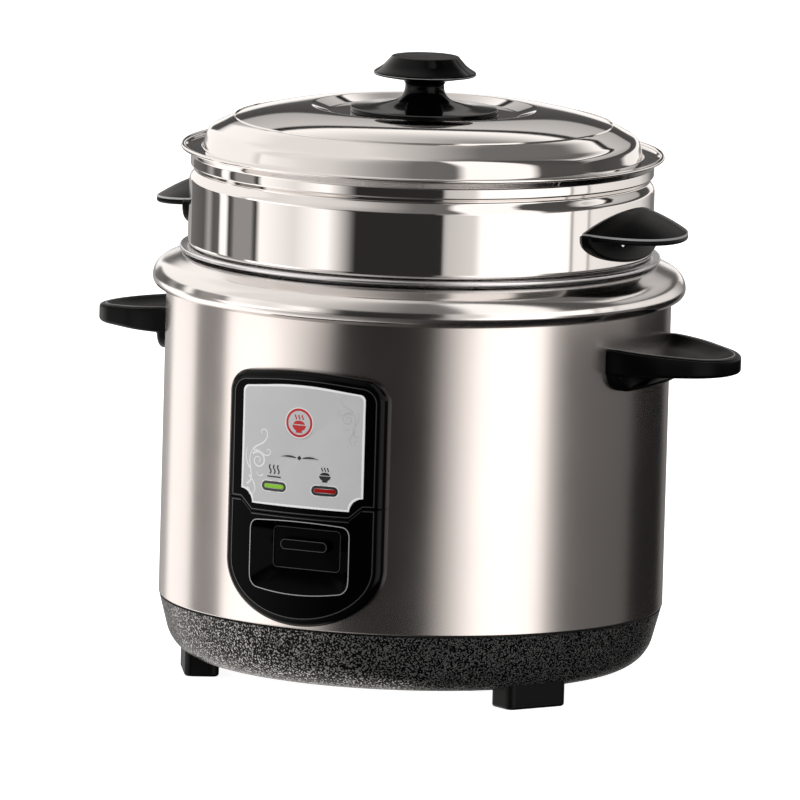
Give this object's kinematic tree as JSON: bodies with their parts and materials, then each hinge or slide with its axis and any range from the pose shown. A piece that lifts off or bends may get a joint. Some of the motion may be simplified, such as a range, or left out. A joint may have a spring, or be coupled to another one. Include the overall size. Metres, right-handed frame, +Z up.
{
  "type": "rice cooker",
  "caption": "Straight-bodied electric rice cooker in satin steel with a lift-out pot, a stacked steamer, a domed lid with a black knob, side handles and a front panel with a push-down switch.",
  "frame": {"origin": "on the floor below the middle of the cooker", "axes": "+Z up, the front panel faces -Y, the side handles stand along X, the power inlet faces +Y"},
  "size_m": [0.3592, 0.2744, 0.3218],
  "materials": {
    "satin_steel": "satin brushed stainless steel",
    "polished_steel": "mirror polished stainless steel",
    "pot_aluminium": "spun and cast aluminium",
    "liner_steel": "galvanised sheet",
    "base_plastic": "black, coarse leather grain",
    "gloss_black": "gloss black phenolic",
    "label_silver": "silver-grey printed plate",
    "lens_green": "clear green",
    "lens_red": "clear red",
    "lamp_glass": "clear",
    "inner_plastic": "black moulded",
    "fastener_steel": "zinc plated",
    "works_steel": "pressed steel",
    "dark_ceramic": "dark sintered",
    "pin_brass": "plain brass",
    "sleeve_white": "heat-proof sleeve"
  },
  "bodies": {
    "cooker_body": {"body_shell": "satin_steel", "top_ring": "polished_steel", "inner_liner": "liner_steel", "base_skirt": "base_plastic", "foot_rear": "base_plastic", "foot_front_left": "base_plastic", "foot_front_right": "base_plastic", "foot_screws": "fastener_steel", "bottom_cover": "liner_steel", "bottom_cover_screws": "fastener_steel", "handle_left": "gloss_black", "handle_right": "gloss_black", "handle_screws": "fastener_steel", "panel_frame": "gloss_black", "panel_lower": "gloss_black", "label_plate": "label_silver", "lens_warm": "lens_green", "lens_cook": "lens_red", "lamp_warm": "lamp_glass", "lamp_cook": "lamp_glass", "lamp_holder": "inner_plastic", "panel_screws": "fastener_steel", "lever_bracket": "works_steel", "bracket_screws": "fastener_steel", "lever_pin": "fastener_steel", "micro_switch": "inner_plastic", "heating_plate": "pot_aluminium", "heating_tube": "works_steel", "heater_terminals": "works_steel", "plate_posts": "works_steel", "thermostat_sleeve": "pot_aluminium", "sensor_spring": "works_steel", "release_spring": "works_steel", "keep_warm_thermostat": "works_steel", "thermal_fuse": "sleeve_white", "power_inlet": "inner_plastic", "inlet_pins": "pin_brass", "inlet_screws": "fastener_steel", "neutral_wire": "sleeve_white", "live_wire": "sleeve_white", "fuse_wire": "sleeve_white", "heater_wire": "sleeve_white"},
    "inner_pot": {"inner_pot": "pot_aluminium"},
    "steamer": {"steamer_basket": "polished_steel", "steamer_handle_left": "gloss_black", "steamer_handle_right": "gloss_black", "steamer_rivets": "polished_steel"},
    "lid": {"lid_shell": "polished_steel", "knob_base": "gloss_black", "knob": "gloss_black", "knob_screw": "fastener_steel"},
    "switch_key": {"switch_key": "gloss_black"},
    "switch_lever": {"switch_lever": "works_steel"},
    "plunger": {"plunger_rod": "works_steel", "magnet": "dark_ceramic"},
    "sensor": {"sensor_cap": "pot_aluminium", "ferrite_disc": "dark_ceramic"},
    "switch_button": {"micro_switch_button": "inner_plastic"}
  },
  "joints": [
    {"name": "pot_lift", "type": "slide", "parent": "cooker_body", "child": "inner_pot", "axis": [0, 0, 1], "range_m": [0, 0.18]},
    {"name": "steamer_lift", "type": "slide", "parent": "inner_pot", "child": "steamer", "axis": [0, 0, 1], "range_m": [0, 0.09]},
    {"name": "lid_lift", "type": "slide", "parent": "steamer", "child": "lid", "axis": [0, 0, 1], "range_m": [0, 0.08]},
    {"name": "switch_press", "type": "slide", "parent": "cooker_body", "child": "switch_key", "axis": [0, 0, -1], "range_m": [0, 0.006], "stiffness_N_per_m": 120, "springref_m": -0.004},
    {"name": "lever_tilt", "type": "hinge", "parent": "cooker_body", "child": "switch_lever", "pos_m": [0, -0.056, 0.0328], "axis": [1, 0, 0], "range_deg": [0, 5.73]},
    {"name": "plunger_rise", "type": "slide", "parent": "cooker_body", "child": "plunger", "axis": [0, 0, 1], "range_m": [0, 0.00559], "deforming": ["release_spring"]},
    {"name": "button_press", "type": "slide", "parent": "cooker_body", "child": "switch_button", "axis": [0, 0, -1], "range_m": [0, 0.0024]},
    {"name": "sensor_rise", "type": "slide", "parent": "cooker_body", "child": "sensor", "axis": [0, 0, 1], "range_m": [0, 0.003], "deforming": ["sensor_spring"]}
  ],
  "couplings": [
    {"joint": "lever_tilt", "follows": "switch_press", "rad_per_m": 16.639},
    {"joint": "plunger_rise", "follows": "switch_press", "ratio": 0.93178},
    {"joint": "button_press", "follows": "switch_press", "ratio": 0.39933},
    {"joint": "sensor_rise", "follows": "pot_lift", "ratio": 0.016667}
  ]
}
